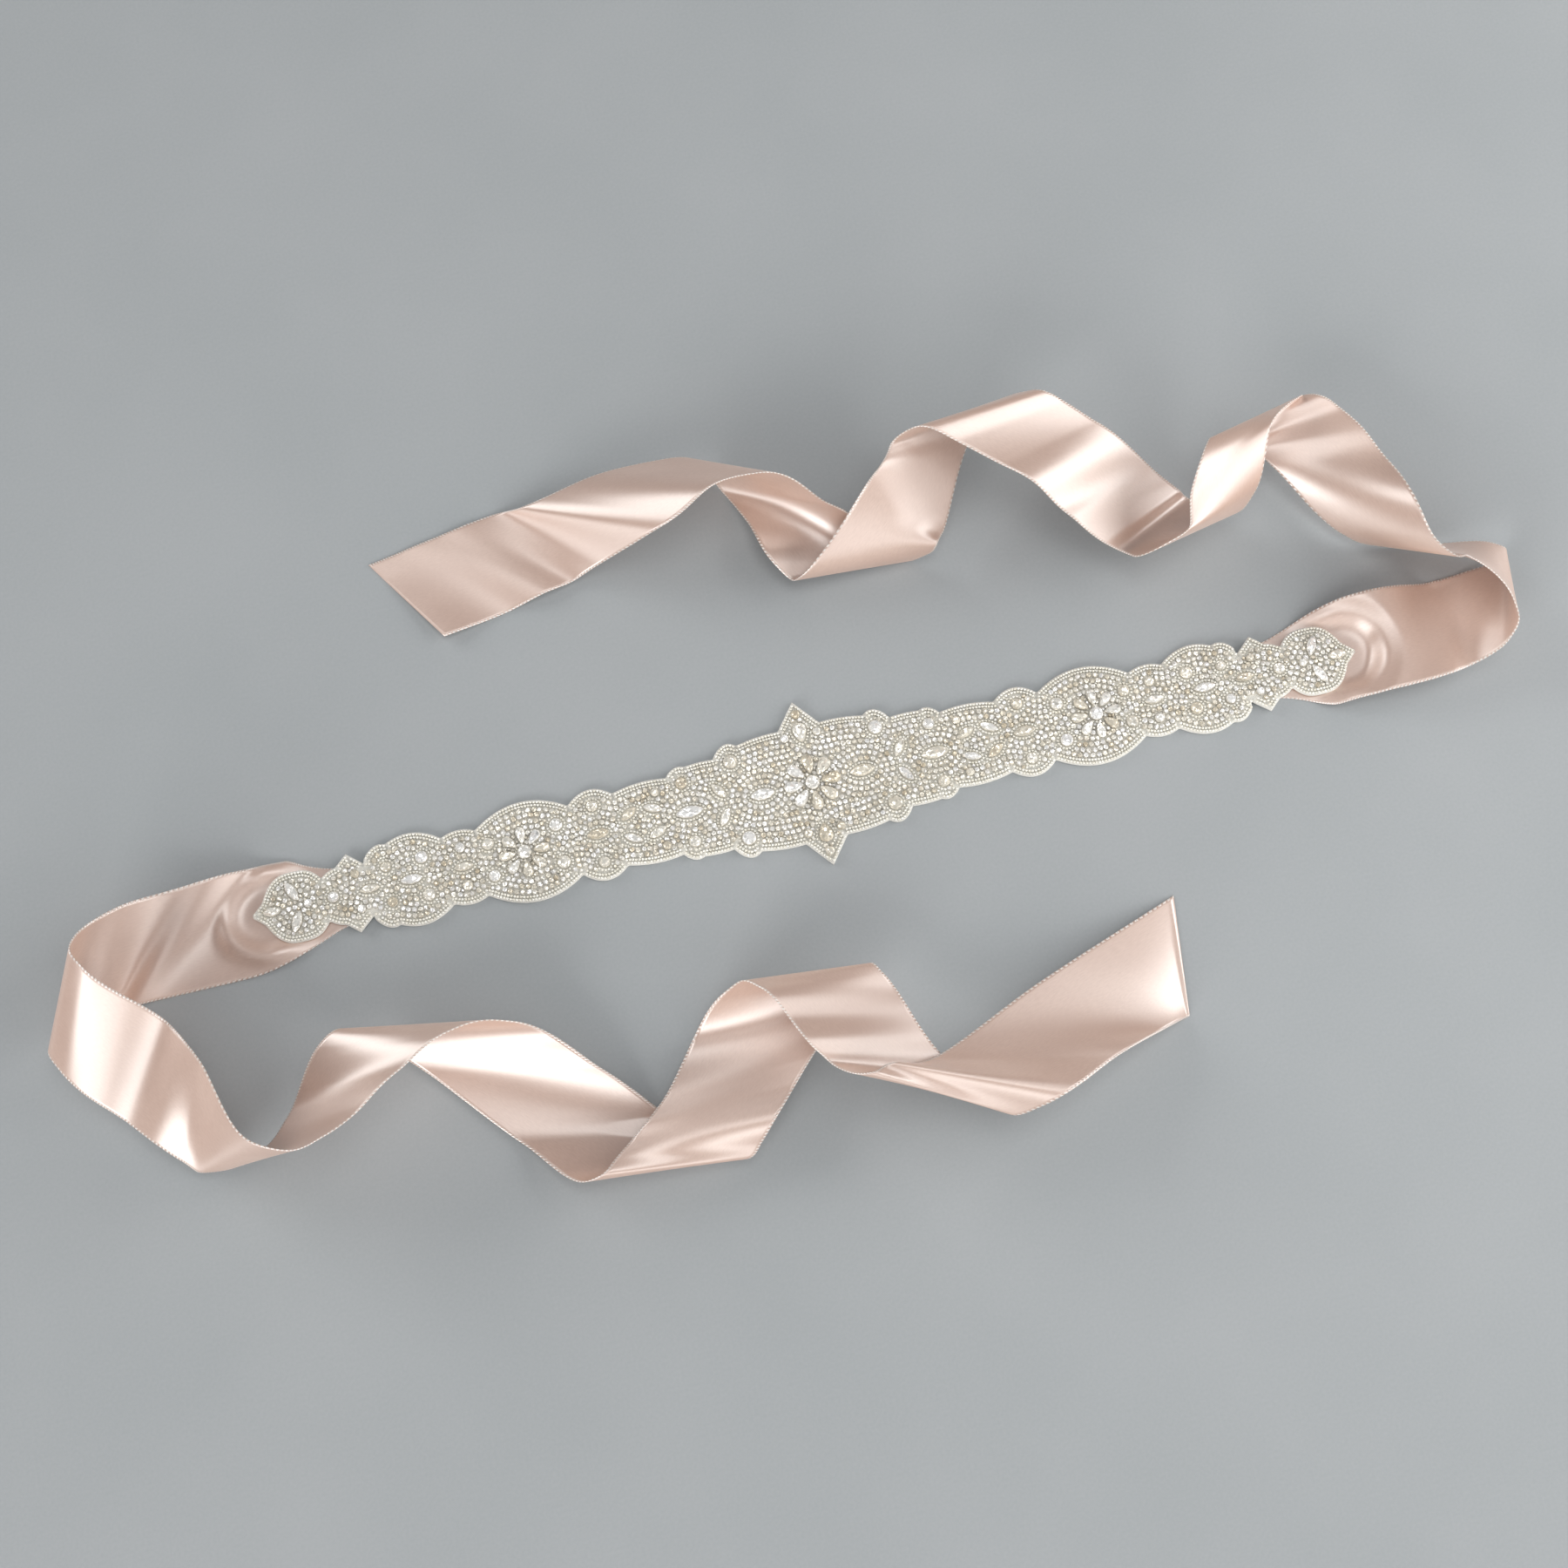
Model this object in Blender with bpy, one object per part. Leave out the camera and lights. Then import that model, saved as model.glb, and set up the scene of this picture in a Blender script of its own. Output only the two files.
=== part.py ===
"""Bridal sash laid out on a table, built at real size in metres, +Z up.

A beaded panel on an organza ground lies along the X axis.  A satin ribbon
tail starts under each end of it, turns back and runs in loose zigzag folds:
the left tail in front of the panel (towards -Y), the right one behind it.

Each tail is one developable strip.  It is described by crosswise sections,
straight lines from selvedge to selvedge, and both selvedges are smooth
curves through the ends of those lines.  The strip is parted at its folds,
so every stretch between two folds is a solid of its own.
"""

import math
from collections import namedtuple

import bmesh
import bpy
from mathutils import Matrix, Vector

# ---------------------------------------------------------------- dimensions
MM = 0.001

RIBBON_WIDTH = 38 * MM          # 1 1/2 inch satin ribbon
RIBBON_WALL = 1.0 * MM
SEAM = 0.6 * MM                 # ribbon left out at a fold, along the ribbon
STRETCH_STEPS = 26              # facets along a stretch, closer at its folds
STRETCH_LANES = 2               # facets across it
GATHER_STEPS = 38               # the first stretch has gathers as well
GATHER_LANES = 10

PANEL_HALF = 204 * MM           # half the length of the beaded panel
PANEL_DROP = 0.8 * MM           # its outline sits this much nearer the front
NECK = 168 * MM                 # where the ribbon is sewn under the panel
NECK_END = 200 * MM             # where it has opened to its full width
NECK_SHARE = 0.55               # gathered width there, as a share of the full
END_MOTIF = 190 * MM            # middle of the last, round motif
PUFF_INNER = 16 * MM            # ribbon puffed up in a ring round that motif
PUFF_OUTER = 25 * MM
PUFF_HEIGHT = 3.0 * MM
GATHER_REACH = 50 * MM          # the gathers and the puff end within this length

GROUND_WALL = 1.0 * MM          # organza with its sewn edge
LAY_GAP = 0.3 * MM              # between pieces that lie on each other
BEAD_WALL = 1.0 * MM            # bed of small beads
BED_LEAST = 0.5 * MM            # half the bed's depth where it is narrowest
RIM = 1.3 * MM                  # bare organza round the beads
STATION = 2.0 * MM              # spacing of points along the panel
CLIMB = (150 * MM, 170 * MM)    # the panel's ends climb onto the ribbon
STONE_RISE = 1.2 * MM           # height of the large stones above the beads
STONE_TABLE = 0.62              # size of a stone's flat top, share of its girdle

# ------------------------------------------------------------ ribbon sections
# along: ribbon length up to the section's middle (mm).  x, y, z: that middle
# (mm).  yaw: heading of the crosswise line in plan.  rise: its climb above
# the level.  slant: how far it leans from square across the ribbon (degrees).
# The last section of every stretch but the final one lies on the fold.
Section = namedtuple("Section", "along x y z yaw rise slant")

LEFT_TAIL = (
    ("left_tail_1", (       # from the panel to the curl at the far left
        (-8, -171, -1, 0.5, -95, 0, 5),
        (4, -183, -2, 0.5, -100, 0, 11),
        (52, -230, -3, 3.5, -136, -6, 45),
        (77, -254, -6, 10.5, -123, -23, 26),
        (96, -267, -14, 21, -123, -32, 18),
        (104, -268, -20, 25.5, -124, -32, 18))),
    ("left_tail_2", (       # back over itself, leaning on its edge
        (110, -265, -26, 27, -123, -31, 19),
        (143, -245, -49, 19.5, -129, -22, 12),
        (163, -233, -65, 20, -121, -33, 18),
        (187, -222, -84, 25, -174, -56, -22),
        (196, -213, -87, 23.5, 174, -53, -27))),
    ("left_tail_3", (
        (211, -200, -84, 21.5, 169, -51, -27),
        (236, -180, -69, 23, 173, -35, -37),
        (257, -165, -58, 24.5, 169, -19, -40),
        (269, -154, -55, 20, 168, -10, -46))),
    ("left_tail_4", (
        (275, -149, -56, 16.5, 168, -7, -49),
        (307, -127, -75, 4.5, 164, -2, -55),
        (348, -100, -106, 2.5, 171, 3, -48),
        (372, -84, -122, 9.5, 175, 8, -42),
        (379, -78, -122, 12.5, 173, 9, -42))),
    ("left_tail_5", (
        (387, -73, -118, 13, 173, 5, -41),
        (417, -52, -99, 12, -178, -12, -46),
        (457, -25, -73, 16, 171, 1, -37),
        (463, -20, -70, 22, 175, 8, -33))),
    ("left_tail_6", (
        (470, -16, -74, 26, 174, 9, -30),
        (502, -3, -103, 25, 167, 23, -34),
        (522, 9, -119, 29.5, 156, 22, -43),
        (531, 15, -122, 31.5, 151, 20, -44))),
    ("left_tail_7", (       # down to the cut end, flat on the table
        (538, 21, -121, 32.5, 153, 11, -47),
        (566, 45, -116, 22.5, 168, 3, -54),
        (603, 78, -104, 9.5, 146, 4, -35),
        (640, 111, -93, 0.5, 81, 0, 28))),
)

RIGHT_TAIL = (
    ("right_tail_1", (      # from the panel to the curl at the far right
        (-8, 171, 0, 0.5, 89, 0, 1),
        (-1, 179, 0, 0.5, 88, 0, 3),
        (27, 206, 0, 7, 68, -2, 22),
        (66, 244, 0, 5.5, 72, -14, 19),
        (82, 260, 3, 10, 68, -23, 19),
        (90, 263, 7, 15, 69, -30, 13))),
    ("right_tail_2", (      # steep, standing on one edge
        (96, 260, 11, 18, 70, -38, 9),
        (123, 239, 24, 19.5, 101, -61, 17),
        (134, 229, 27, 19, 131, -51, 35))),
    ("right_tail_3", (
        (143, 223, 34, 19, 140, -52, 34),
        (165, 212, 65, 20.5, 162, -22, 28),
        (196, 200, 85, 16, -169, -9, 15),
        (212, 190, 86, 20, -159, 7, 33),
        (224, 187, 86, 29.5, -163, 18, 33))),
    ("right_tail_4", (
        (244, 172, 71, 34.5, -153, 4, 21),
        (260, 165, 55, 27.5, -158, 26, 11),
        (277, 151, 55, 14.5, -159, 22, 30))),
    ("right_tail_5", (
        (281, 148, 59, 11, -153, 23, 26),
        (297, 140, 65, 12.5, -154, 22, 31),
        (342, 112, 92, 34, -160, 19, 33),
        (374, 86, 109, 37, -168, 18, 41),
        (385, 77, 110, 32.5, -165, 20, 39))),
    ("right_tail_6", (
        (390, 73, 107, 30.5, -164, 26, 36),
        (422, 54, 83, 23, 155, 34, 2),
        (448, 37, 72, 9, 179, 5, 36),
        (455, 33, 73, 4.5, 179, 8, 34))),
    ("right_tail_7", (
        (462, 29, 78, 5, 173, 11, 39),
        (479, 22, 91, 8, 157, 2, 36),
        (501, 12, 107, 11, 145, -22, 43),
        (526, -4, 118, 21, 139, -35, 37))),
    ("right_tail_8", (      # to the cut end, with one soft wave
        (535, -14, 119, 21, 142, -34, 38),
        (577, -55, 111, 19.5, 148, -23, 50),
        (598, -73, 112, 3, 137, -8, 35),
        (616, -90, 109, 2, 137, -2, 36),
        (655, -128, 102, 1, 122, 0, 23))),
)

# ------------------------------------------------------------- panel outline
# The outline is the envelope of motifs set along the panel, alike left and
# right, front and back (mm).  A motif's edge is crest high at its middle and
# falls by fall at its reach: straight for power 1, as an arc for power 2 or 3.
Motif = namedtuple("Motif", "middle crest reach fall power")

MOTIFS = (
    Motif(0, 31, 8, 10, 1),         # centre point
    Motif(11, 21.5, 18, 3, 2),      # eye beside it
    Motif(27, 21.5, 6, 4.5, 2),     # round flower
    Motif(38, 17.3, 12, 1.5, 2),
    Motif(46, 17.5, 5, 3, 2),
    Motif(59, 15.2, 15, 2.6, 2),    # long leaves
    Motif(79, 17, 9, 4.5, 2),
    Motif(104, 18.5, 18, 6.5, 2),   # second flower
    Motif(128, 13.8, 8, 2.5, 2),
    Motif(146, 17, 13, 5.5, 2),
    Motif(156, 15.4, 6, 4, 2),
    Motif(168, 14.5, 8, 7, 1),      # side point
    Motif(172, 10.5, 6, 2.5, 2),
    Motif(188, 12.8, 12, 8.5, 3),   # round end motif
    Motif(204, 0.6, 6, -5.4, 1),    # its point
)

# -------------------------------------------------------------- large stones
# One row for each stone or ring of stones in the +X, +Y quarter (mm); the
# panel repeats it left and right, and front and back.  turn: degrees from X.
Stone = namedtuple("Stone", "cut x y length width turn")

STONES = (
    Stone("round", 0, 0, 7.5, 7.5, 0),
    Stone("pear", 0, 19, 7, 4.6, -90),
    Stone("round", 0, 26, 3.2, 3.2, 0),
    Stone("round", 6, 18, 3, 3, 0),
    Stone("marquise", 18.5, 0, 9, 4.2, 0),
    Stone("round", 27, 14.5, 5, 5, 0),
    Stone("marquise", 33.5, 5, 7, 3, 55),
    Stone("marquise", 45.5, 0, 10, 4.2, 0),
    Stone("round", 46, 11, 4.2, 4.2, 0),
    Stone("round", 56, 10, 3, 3, 0),
    Stone("marquise", 58, 4.5, 7, 3, 20),
    Stone("marquise", 67, 4.5, 7, 3, -30),
    Stone("marquise", 79, 0, 8, 3.6, 0),
    Stone("round", 79, 10.5, 4, 4, 0),
    Stone("round", 93, 7, 4.6, 4.6, 0),
    Stone("round", 106, 0, 5, 5, 0),
    Stone("round", 118, 6, 4.2, 4.2, 0),
    Stone("round", 128, 7, 3.6, 3.6, 0),
    Stone("marquise", 128, 0, 7, 3, 0),
    Stone("round", 142, 7, 4.4, 4.4, 0),
    Stone("marquise", 147, 0, 8, 3.4, 0),
    Stone("round", 155, 6.5, 3.6, 3.6, 0),
    Stone("marquise", 162, 0, 7, 3, 0),
    Stone("round", 166, 6.5, 3, 3, 0),
    Stone("round", 175, 0, 4, 4, 0),
    Stone("marquise", 189, 5.5, 8, 3.4, 65),
    Stone("round", 184, 0, 3, 3, 0),
    Stone("marquise", 197, 0, 6.5, 3.4, 0),
)
# Petals set round a middle stone: (middle x, petals, radius, length, width).
Flower = namedtuple("Flower", "x petals radius length width")
FLOWERS = (Flower(0, 8, 9, 8, 4.2), Flower(106, 6, 6.8, 6.6, 3.2))
CUT_POINTS = {"round": 8, "marquise": 8, "pear": 10}
MARQUISE_ENDS = 0.5                 # power that draws a marquise to two points
PEAR_TAPER = 0.45                   # width a pear loses towards its point, as a share

# The sash's own middle is brought to the origin, its lowest point to z = 0.
SASH_MIDDLE = Vector((-4.2, -1.45, 0)) * MM


# ------------------------------------------------------------------ materials
def srgb(red, green, blue):
    """Linear RGBA of an 8-bit colour."""
    def linear(value):
        value /= 255
        return value / 12.92 if value <= 0.04045 else ((value + 0.055) / 1.055) ** 2.4
    return (linear(red), linear(green), linear(blue), 1.0)


def make_material(name, color, roughness, metallic=0.0):
    material = bpy.data.materials.new(name)
    material.use_nodes = True
    shader = material.node_tree.nodes["Principled BSDF"]
    shader.inputs["Base Color"].default_value = color
    shader.inputs["Roughness"].default_value = roughness
    shader.inputs["Metallic"].default_value = metallic
    material.diffuse_color = color
    return material


# -------------------------------------------------------------- small helpers
def smooth_step(low, high, value):
    share = min(1.0, max(0.0, (value - low) / (high - low)))
    return share * share * (3 - 2 * share)


def add_object(name, mesh_data, material):
    """Turn a bmesh into an object of the scene."""
    mesh = bpy.data.meshes.new(name)
    mesh_data.to_mesh(mesh)
    mesh_data.free()
    mesh.materials.append(material)
    thing = bpy.data.objects.new(name, mesh)
    bpy.context.collection.objects.link(thing)
    return thing


def add_wall(thing, thickness):
    """Thicken a sheet evenly to both sides."""
    wall = thing.modifiers.new("wall", "SOLIDIFY")
    wall.thickness = thickness
    wall.offset = 0
    wall.use_quality_normals = True


# --------------------------------------------------------------------- ribbon
class Selvedge:
    """A smooth curve through the section ends on one side of the ribbon."""

    def __init__(self, keys, points):
        self.keys = keys
        self.points = points
        self.slopes = [self.slope(i) for i in range(len(keys))]

    def chord(self, i):
        return (self.points[i + 1] - self.points[i]) / (self.keys[i + 1] - self.keys[i])

    def slope(self, i):
        if i == 0:
            return self.chord(0)
        if i == len(self.keys) - 1:
            return self.chord(i - 1)
        before = self.keys[i] - self.keys[i - 1]
        after = self.keys[i + 1] - self.keys[i]
        return (self.chord(i - 1) * after + self.chord(i) * before) / (before + after)

    def at(self, along):
        last = len(self.keys) - 2
        i = next((k for k in range(last) if along < self.keys[k + 1]), last)
        span = self.keys[i + 1] - self.keys[i]
        t = (along - self.keys[i]) / span
        return (self.points[i] * (2 * t ** 3 - 3 * t ** 2 + 1)
                + self.slopes[i] * (t ** 3 - 2 * t ** 2 + t) * span
                + self.points[i + 1] * (3 * t ** 2 - 2 * t ** 3)
                + self.slopes[i + 1] * (t ** 3 - t ** 2) * span)


def section_end(section, side):
    """One end of a crosswise line, side -1 or 1."""
    yaw, rise, slant = (math.radians(turn) for turn in section[4:])
    reach = side * 0.5 * RIBBON_WIDTH / math.cos(slant)
    heading = Vector((math.cos(yaw) * math.cos(rise), math.sin(yaw) * math.cos(rise), math.sin(rise)))
    return Vector(section[1:4]) * MM + heading * reach


class Tail:
    """The middle surface of one ribbon tail."""

    def __init__(self, stretches):
        sections = [Section(*row) for _name, rows in stretches for row in rows]
        keys = [section.along * MM for section in sections]
        self.sides = [Selvedge(keys, [section_end(s, side) for s in sections]) for side in (-1, 1)]

    def point(self, along, across):
        """A place on the sheet; across runs from -1 to 1."""
        low, high = (side.at(along) for side in self.sides)
        middle = (low + high) / 2
        if along < GATHER_REACH:
            across *= NECK_SHARE + (1 - NECK_SHARE) * smooth_step(NECK, NECK_END, abs(middle.x))
        spot = middle + (high - low) / 2 * across
        lowest = RIBBON_WALL / 2
        if along < GATHER_REACH:
            radius = math.hypot(max(0, abs(spot.x) - END_MOTIF), spot.y + PANEL_DROP)
            free = smooth_step(PUFF_INNER, PUFF_OUTER, radius)
            spot.z = lowest + max(0, spot.z - lowest) * free + puff(radius)
        spot.z = max(spot.z, lowest)
        return spot


def puff(radius):
    """Height of the gathered ring of ribbon round the panel's end motif."""
    share = (radius - PUFF_INNER) / (PUFF_OUTER - PUFF_INNER)
    return PUFF_HEIGHT * math.sin(math.pi * share) ** 2 if 0 < share < 1 else 0.0


def make_stretch(name, tail, start, end, gathered, material):
    """One stretch of ribbon between two folds, its facets closer at the folds."""
    steps = GATHER_STEPS if gathered else STRETCH_STEPS
    lanes = GATHER_LANES if gathered else STRETCH_LANES
    sheet = bmesh.new()
    bmesh.ops.create_grid(sheet, x_segments=steps, y_segments=lanes, size=1)
    for vert in sheet.verts:
        place = vert.co.x if gathered and vert.co.x < 0 else math.sin(vert.co.x * math.pi / 2)
        vert.co = tail.point(start + (end - start) * (1 + place) / 2, vert.co.y)
    add_wall(add_object(name, sheet, material), RIBBON_WALL)


def make_tail(stretches, material):
    tail = Tail(stretches)
    start = stretches[0][1][0][0] * MM
    for number, (name, rows) in enumerate(stretches):
        end = rows[-1][0] * MM
        make_stretch(name, tail, start + SEAM / 2, end - SEAM / 2, number == 0, material)
        start = end


# ---------------------------------------------------------------------- panel
def panel_height(x):
    """Underside of the panel: on the table, and on the ribbon at its ends."""
    return (RIBBON_WALL + LAY_GAP) * smooth_step(*CLIMB, abs(x))


def panel_reach(x):
    """Half the panel's depth at x."""
    x = abs(x) / MM
    crests = [m.crest - m.fall * (abs(x - m.middle) / m.reach) ** m.power
              for m in MOTIFS if abs(x - m.middle) <= m.reach]
    return max(crests) * MM


def panel_stations(length):
    count = round(2 * length / STATION)
    return [-length + 2 * length * i / count for i in range(count + 1)]


def make_ground(material):
    """The organza ground, cut to the scalloped outline."""
    stations = panel_stations(PANEL_HALF)
    sheet = bmesh.new()
    bmesh.ops.create_grid(sheet, x_segments=len(stations) - 1, y_segments=1, size=1)
    for vert in sheet.verts:
        x = vert.co.x * PANEL_HALF
        y = vert.co.y * panel_reach(x) - PANEL_DROP
        vert.co = (x, y, panel_height(x) + GROUND_WALL / 2)
    add_wall(add_object("organza_ground", sheet, material), GROUND_WALL)


def stone_outline(stone, share=1.0):
    """Points round a stone, in the panel's plane."""
    count = CUT_POINTS[stone.cut]
    points = []
    for i in range(count):
        t = math.tau * i / count
        u = math.cos(t) * stone.length / 2
        v = math.sin(t) * stone.width / 2
        if stone.cut == "marquise":
            v *= abs(math.sin(t)) ** MARQUISE_ENDS
        if stone.cut == "pear":
            v *= 1 - PEAR_TAPER * math.cos(t)
        turn = math.radians(stone.turn)
        points.append(((stone.x + share * (u * math.cos(turn) - v * math.sin(turn))) * MM,
                       (stone.y + share * (u * math.sin(turn) + v * math.cos(turn))) * MM - PANEL_DROP))
    return points


def all_stones():
    """Every large stone of the panel, mirrored left-right and front-back."""
    stones = []
    for stone in STONES:
        for side in (1, -1) if stone.x else (1,):
            for half in (1, -1) if stone.y else (1,):
                turn = stone.turn * side * half if stone.x else stone.turn * half
                stones.append(stone._replace(x=stone.x * side, y=stone.y * half, turn=turn))
    for flower in FLOWERS:
        for side in (1, -1) if flower.x else (1,):
            for i in range(flower.petals):
                turn = 360 * i / flower.petals
                x = flower.x * side + flower.radius * math.cos(math.radians(turn))
                y = flower.radius * math.sin(math.radians(turn))
                stones.append(Stone("pear", x, y, flower.length, flower.width, turn + 180))
    return stones


def add_loop(mesh, points, height):
    """A closed loop of edges at a height above the panel's underside."""
    verts = [mesh.verts.new((x, y, panel_height(x) + height)) for x, y in points]
    edges = [mesh.edges.new((verts[i - 1], verts[i])) for i in range(len(verts))]
    return verts, edges


def wall_between(mesh, lower, upper):
    for i in range(len(lower)):
        mesh.faces.new((lower[i - 1], lower[i], upper[i], upper[i - 1]))


def make_beadwork(material):
    """The bed of beads, with the large stones raised from its top."""
    stations = panel_stations(PANEL_HALF - 2 * RIM)
    reaches = [max(BED_LEAST, panel_reach(x) - RIM) for x in stations]
    back = [(x, reach - PANEL_DROP) for x, reach in zip(stations, reaches)]
    front = [(x, -reach - PANEL_DROP) for x, reach in zip(stations, reaches)]
    outline = front[::-1] + back
    low = GROUND_WALL + LAY_GAP
    high = low + BEAD_WALL
    beads = bmesh.new()
    under, under_edges = add_loop(beads, outline, low)
    top, top_edges = add_loop(beads, outline, high)
    wall_between(beads, under, top)
    bmesh.ops.triangle_fill(beads, edges=under_edges, use_beauty=True)
    for stone in all_stones():
        girdle, girdle_edges = add_loop(beads, stone_outline(stone), high)
        table, _edges = add_loop(beads, stone_outline(stone, STONE_TABLE), high + STONE_RISE)
        wall_between(beads, girdle, table)
        beads.faces.new(table)
        top_edges += girdle_edges
    bmesh.ops.triangle_fill(beads, edges=top_edges, use_beauty=True)
    bmesh.ops.recalc_face_normals(beads, faces=beads.faces)
    add_object("beadwork", beads, material)


# ----------------------------------------------------------------------- sash
def main():
    for thing in list(bpy.data.objects):
        bpy.data.objects.remove(thing, do_unlink=True)

    satin = make_material("blush_satin", srgb(222, 200, 187), 0.32)
    organza = make_material("white_organza", srgb(238, 236, 228), 0.55)
    crystal = make_material("crystal_beads", srgb(228, 224, 212), 0.15)

    make_tail(LEFT_TAIL, satin)
    make_tail(RIGHT_TAIL, satin)
    make_ground(organza)
    make_beadwork(crystal)

    for thing in bpy.data.objects:
        thing.data.transform(Matrix.Translation(-SASH_MIDDLE))


main()
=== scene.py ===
# %% [markdown]
# # A bridal sash, laid out on a table
#
# A sash like this is sewn from three things: a double-faced satin ribbon, a
# scalloped strip of white organza, and the glass that is stitched onto it.
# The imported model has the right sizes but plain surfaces.  This lesson keeps
# its places and builds the real surfaces over it: one thin cloth for each
# ribbon tail, the organza ground, and the beads and stones one by one.

import math
import random

import bmesh
import bpy
import numpy as np
from mathutils import Matrix, Vector


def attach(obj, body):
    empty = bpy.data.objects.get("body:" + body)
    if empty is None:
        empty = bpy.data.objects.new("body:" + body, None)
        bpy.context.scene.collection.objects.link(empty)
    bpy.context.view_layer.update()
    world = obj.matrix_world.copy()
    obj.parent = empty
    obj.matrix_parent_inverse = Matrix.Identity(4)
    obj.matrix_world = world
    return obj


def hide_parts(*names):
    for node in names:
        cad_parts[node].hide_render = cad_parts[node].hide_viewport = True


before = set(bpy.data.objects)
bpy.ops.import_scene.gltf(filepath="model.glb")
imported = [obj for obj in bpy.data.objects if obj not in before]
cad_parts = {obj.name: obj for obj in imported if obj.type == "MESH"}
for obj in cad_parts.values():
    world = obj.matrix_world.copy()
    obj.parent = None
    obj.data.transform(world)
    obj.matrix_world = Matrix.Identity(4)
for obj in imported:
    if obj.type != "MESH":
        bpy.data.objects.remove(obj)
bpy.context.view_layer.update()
MM = 0.001
random.seed(38)
print("nodes:", sorted(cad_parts))

# %% [markdown]
# ## Colours and shader nodes
#
# Colours are picked as sRGB hex codes, as in a paint program.  A shader works
# with linear light, so one function turns the codes into linear values.  A
# second function adds a shader node together with its settings, links and, for
# a colour ramp, its stops, which keeps every material below short.

# %% Helpers for colour and nodes
def linear(code):
    """Linear RGBA of an sRGB hex colour."""
    parts = [int(code[i:i + 2], 16) / 255 for i in (1, 3, 5)]
    parts = [p / 12.92 if p <= 0.04045 else ((p + 0.055) / 1.055) ** 2.4 for p in parts]
    return (*parts, 1.0)


def add_node(material, kind, inputs=None, stops=(), **settings):
    """A shader node; an input takes a number, a colour or a link, a ramp takes (place, hex) stops."""
    node = material.node_tree.nodes.new(kind)
    for name, value in settings.items():
        setattr(node, name, value)
    for name, value in (inputs or {}).items():
        if isinstance(value, bpy.types.NodeSocket):
            material.node_tree.links.new(value, node.inputs[name])
        else:
            node.inputs[name].default_value = value
    for number, (place, code) in enumerate(stops):
        if number == len(node.color_ramp.elements):
            node.color_ramp.elements.new(place)
        node.color_ramp.elements[number].position = place
        node.color_ramp.elements[number].color = linear(code)
    return node


def new_material(name, **shader_inputs):
    """A material, and its main shader with the given constants."""
    material = bpy.data.materials.new(name)
    material.use_nodes = True
    shader = material.node_tree.nodes["Principled BSDF"]
    for socket, value in shader_inputs.items():
        shader.inputs[socket.replace("_", " ")].default_value = value
    return material, shader


def feed(material, shader, **sources):
    """Link outputs of other nodes to the main shader."""
    for socket, source in sources.items():
        material.node_tree.links.new(source, shader.inputs[socket.replace("_", " ")])


def finish_mesh(name, mesh_data, material, smooth=True):
    """Turn a bmesh into an object at the origin, with one material."""
    mesh = bpy.data.meshes.new(name)
    mesh_data.to_mesh(mesh)
    mesh_data.free()
    mesh.materials.append(material)
    mesh.polygons.foreach_set("use_smooth", [smooth] * len(mesh.polygons))
    piece = bpy.data.objects.new(name, mesh)
    bpy.context.scene.collection.objects.link(piece)
    return piece


print("blush satin as linear light:", [round(part, 3) for part in linear("#d4b2a0")[:3]])

# %% [markdown]
# ## Where the ribbon runs
#
# A ribbon is a flat strip: it bends and twists, but it never stretches.  So it
# is drawn by straight lines from selvedge to selvedge, with smooth curves
# through their ends.  Each row of a table is one such line: how much ribbon
# lies before it, where its middle is, and how it is turned.  The two tails
# start under the ends of the beaded panel.

# %% The crosswise sections of both tails
RIBBON_WIDTH = 38 * MM
SASH_MIDDLE = np.array((-4.2, -1.45, 0)) * MM   # in these tables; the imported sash's origin

# columns: along, x, y, z (mm), yaw, rise, slant (degrees)
LEFT_SECTIONS = (
    (-8, -171, -1, 0.5, -95, 0, 5), (4, -183, -2, 0.5, -100, 0, 11),
    (52, -230, -3, 3.5, -136, -6, 45), (77, -254, -6, 10.5, -123, -23, 26),
    (96, -267, -14, 21, -123, -32, 18), (104, -268, -20, 25.5, -124, -32, 18),
    (110, -265, -26, 27, -123, -31, 19), (143, -245, -49, 19.5, -129, -22, 12),
    (163, -233, -65, 20, -121, -33, 18), (187, -222, -84, 25, -174, -56, -22),
    (196, -213, -87, 23.5, 174, -53, -27), (211, -200, -84, 21.5, 169, -51, -27),
    (236, -180, -69, 23, 173, -35, -37), (257, -165, -58, 24.5, 169, -19, -40),
    (269, -154, -55, 20, 168, -10, -46), (275, -149, -56, 16.5, 168, -7, -49),
    (307, -127, -75, 4.5, 164, -2, -55), (348, -100, -106, 2.5, 171, 3, -48),
    (372, -84, -122, 9.5, 175, 8, -42), (379, -78, -122, 12.5, 173, 9, -42),
    (387, -73, -118, 13, 173, 5, -41), (417, -52, -99, 12, -178, -12, -46),
    (457, -25, -73, 16, 171, 1, -37), (463, -20, -70, 22, 175, 8, -33),
    (470, -16, -74, 26, 174, 9, -30), (502, -3, -103, 25, 167, 23, -34),
    (522, 9, -119, 29.5, 156, 22, -43), (531, 15, -122, 31.5, 151, 20, -44),
    (538, 21, -121, 32.5, 153, 11, -47), (566, 45, -116, 22.5, 168, 3, -54),
    (603, 78, -104, 9.5, 146, 4, -35), (640, 111, -93, 0.5, 81, 0, 28),
)
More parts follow.
